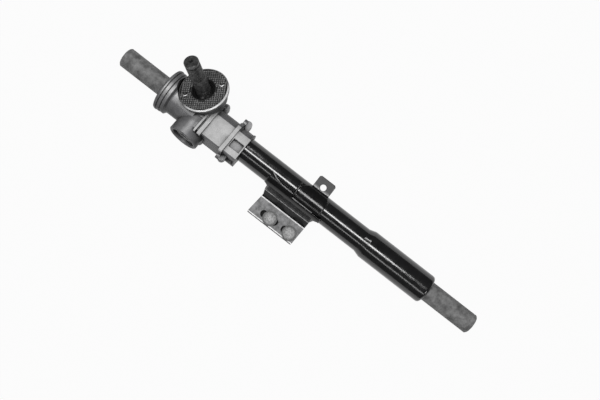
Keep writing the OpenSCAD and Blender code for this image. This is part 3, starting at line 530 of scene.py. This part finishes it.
reach = add(tree, "ShaderNodeVectorMath", {0: sideways}, operation="LENGTH").outputs["Value"]
# Painted highlight: the part of the rim that faces highlight_side is coloured bright.
facing = add(tree, "ShaderNodeVectorMath", {0: outwards, 1: highlight_side}, operation="DOT_PRODUCT")
facing = add(tree, "ShaderNodeMapRange", {"Value": facing.outputs["Value"], "From Min": highlight_from,
                                          "From Max": highlight_to})
rim = inside(tree, (reach, rim_from, rim_to, 0.0002),
             (height.outputs["Value"], nut_top - rim_depth, nut_top + 0.0010, 0.0002))
laid_on = add(tree, "ShaderNodeMath", {0: rim, 1: facing}, operation="MULTIPLY")
# Painted shade: the face between the knurl's diamonds is coloured near black.
groove_shade = inside(tree, (reach, groove_from, groove_to, 0.0003),
                (height.outputs["Value"], nut_top - 0.0002, nut_top + 0.0001, 0.0001))
coat = {"Base Color": dark_steel, "Roughness": sheen, "Metallic": 0.3}
coat = laid_over(tree, groove_shade, coat, {"Base Color": linear("#1a1a1a")})
# Painted highlight on the rim's chamfer.
coat = laid_over(tree, laid_on, coat, {"Base Color": painted_rim_highlight, "Roughness": 0.30, "Metallic": 0.4})
close_finish(tree, coat)
dress("ring_nut", phosphated)


# Knurl of the ring nut. Diamonds rolled into its face, slightly uneven in height and lower in
# one patch that a tool has pressed. Each is a blunt pyramid of the nut's steel that stands on
# the face, rubbed to a mid grey.
knurl_pitch = 0.0024
knurl_turn = math.radians(31)
knurl_height = 0.00055
knurl_inner = 0.0150
knurl_outer = 0.0262
knurl_sink = 0.00002
diamond_base = knurl_pitch * 0.56
diamond_tip = knurl_pitch * 0.22
cells = 14
spanner_reach = 0.0210
spanner_turn = math.radians(48.6)
spanner_clear = 0.0031
patch_centre = Vector((0.0185, -0.0085))
patch_reach = 0.0075
patch_least = 0.25
pressed_steel = plain_finish("knurled_phosphated_steel", "#5c5c5c", "#8a8a8a", 0.4, 0.34, patch=6)
knurl = bmesh.new()
dice = random.Random(7)
spanner_hole = spanner_reach * Vector((math.cos(spanner_turn), math.sin(spanner_turn)))
diamond_turn = Matrix.Rotation(knurl_turn + math.pi / 4, 4, "Z")
for row in range(-cells, cells + 1):
    for column in range(-cells, cells + 1):
        spot = Matrix.Rotation(knurl_turn, 2) @ Vector((row, column)) * knurl_pitch
        nearest_hole = min((spot - side * spanner_hole).length for side in (-1, 1))
        if not knurl_inner < spot.length < knurl_outer or nearest_hole < spanner_clear:
            continue
        pressed = min(1.0, max(patch_least, (spot - patch_centre).length / patch_reach))
        tall = knurl_height * pressed * dice.uniform(0.7, 1.1)
        stand = Matrix.Translation((spot.x, spot.y, nut_top + tall / 2 - knurl_sink)) @ diamond_turn
        bmesh.ops.create_cone(knurl, cap_ends=True, segments=4, radius1=diamond_base,
                              radius2=diamond_tip, depth=tall, matrix=nut_place @ stand)
knurl_piece = piece_from("ring_nut_knurl", knurl, pressed_steel)
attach(knurl_piece, "housing")


# Spanner bruises. Burrs that a pin spanner has raised beside both holes of the ring nut, painted
# near white as painted glints. Each is a round bead on an arc beside its hole, with closed ends.
bruise_reach = 0.0023
bruise_radius = 0.00052
bruise_lift = 0.0002
bruise_from = math.radians(-120)
bruise_sweep = math.radians(140)
bruise_sides = 8
bruise_steps = 12
# Painted glints: the burrs are coloured near white.
glint_steel = plain_finish("painted_glint_steel", "#d8d8d8", "#f4f4f4", 0.3, 0.35)
bruises = bmesh.new()
start = Vector((math.cos(bruise_from), math.sin(bruise_from), 0))
for side in (-1, 1):
    centre = Vector((side * spanner_hole.x, side * spanner_hole.y, nut_top + bruise_lift))
    loop = []
    for turn in (math.tau * step / bruise_sides for step in range(bruise_sides)):
        rise = Vector((0, 0, bruise_radius * math.sin(turn)))
        spot = start * (bruise_reach + bruise_radius * math.cos(turn)) + rise
        loop.append(bruises.verts.new(nut_place @ (centre + spot)))
    edges = [bruises.edges.new((loop[i], loop[(i + 1) % bruise_sides])) for i in range(bruise_sides)]
    bruises.faces.new(loop)
    bmesh.ops.spin(bruises, geom=loop + edges, cent=nut_place @ centre, axis=nut_axis, dvec=(0, 0, 0),
                   angle=bruise_sweep, steps=bruise_steps, use_merge=False)
bmesh.ops.holes_fill(bruises, edges=bruises.edges, sides=bruise_sides)
bmesh.ops.recalc_face_normals(bruises, faces=bruises.faces)
bruise_piece = piece_from("spanner_bruise_glints", bruises, glint_steel)
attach(bruise_piece, "housing")


# Shaft seal and yoke O-ring. Moulded black nitrile rubber, slightly shiny from grease. The seal
# sits in the ring nut round the shaft, and the O-ring in the groove of the thrust yoke.
rubber = plain_finish("nitrile_rubber", "#0a0a0a", "#121212", 0.0, 0.24)
dress("shaft_seal", rubber)
dress("yoke_o_ring", rubber)


# Bracket bolts and washers. Cold-headed steel bolts with a dull, mottled zinc coat, pushed
# through the plate's slots on dark matt washers of black-passivated steel.
zinc = plain_finish("zinc_plated_steel", "#6e6e6e", "#c4c4c4", 0.25, 0.6, patch=2)
black_zinc = plain_finish("black_passivated_steel", "#3c3c3c", "#585858", 0.0, 0.5)
dress("bracket_bolts", zinc)
dress("bracket_washers", black_zinc)


# Adjuster plug and bore plug. Turned steel, zinc plated to a dull pale grey. The first is
# screwed into the mouth of the yoke barrel, and the second closes the pinion bore from below.
plug_zinc = plain_finish("dull_zinc_steel", "#8c8c8c", "#a6a6a6", 0.6, 0.42)
dress("adjuster_plug", plug_zinc)
dress("bore_plug", plug_zinc)


# Bearing rings, balls, snap rings and yoke spring. Hardened bearing steel, ground to a polish,
# and bright spring steel, wound and set. They lie inside and hardly show.
polished = plain_finish("polished_bearing_steel", "#b4b4b4", "#cccccc", 1.0, 0.2)
dress("bearing_outer_race", polished)
dress("bearing_inner_race", polished)
dress("bearing_balls", polished)
dress("bearing_circlip", polished)
dress("bush_ring", polished)
dress("yoke_spring", polished)


# Bearing cage, lower bush and yoke liner. Sintered bronze, pressed to shape, a soft brown gold.
# The bush is pressed into the lower end of the pinion bore, and the liner into the yoke's saddle.
bronze = plain_finish("sintered_bronze", "#8a6a3a", "#a07d48", 0.9, 0.45)
dress("bearing_cage", bronze)
dress("lower_bush", bronze)
dress("yoke_liner", bronze)


# Rack bush. Moulded nylon, a matt cream. It sits in the wider end of the tube, where it carries
# the rack bar, and its snap ring holds it.
nylon = plain_finish("moulded_nylon", "#cfc6ae", "#ddd5bf", 0.0, 0.45)
dress("rack_bush", nylon)


# Thrust yoke. A turned aluminium piston with a soft silver sheen. It slides in the yoke barrel,
# where its spring presses it against the rack bar.
turned = plain_finish("turned_aluminium", "#9c9c9d", "#b4b4b5", 0.9, 0.35)
dress("thrust_yoke", turned)
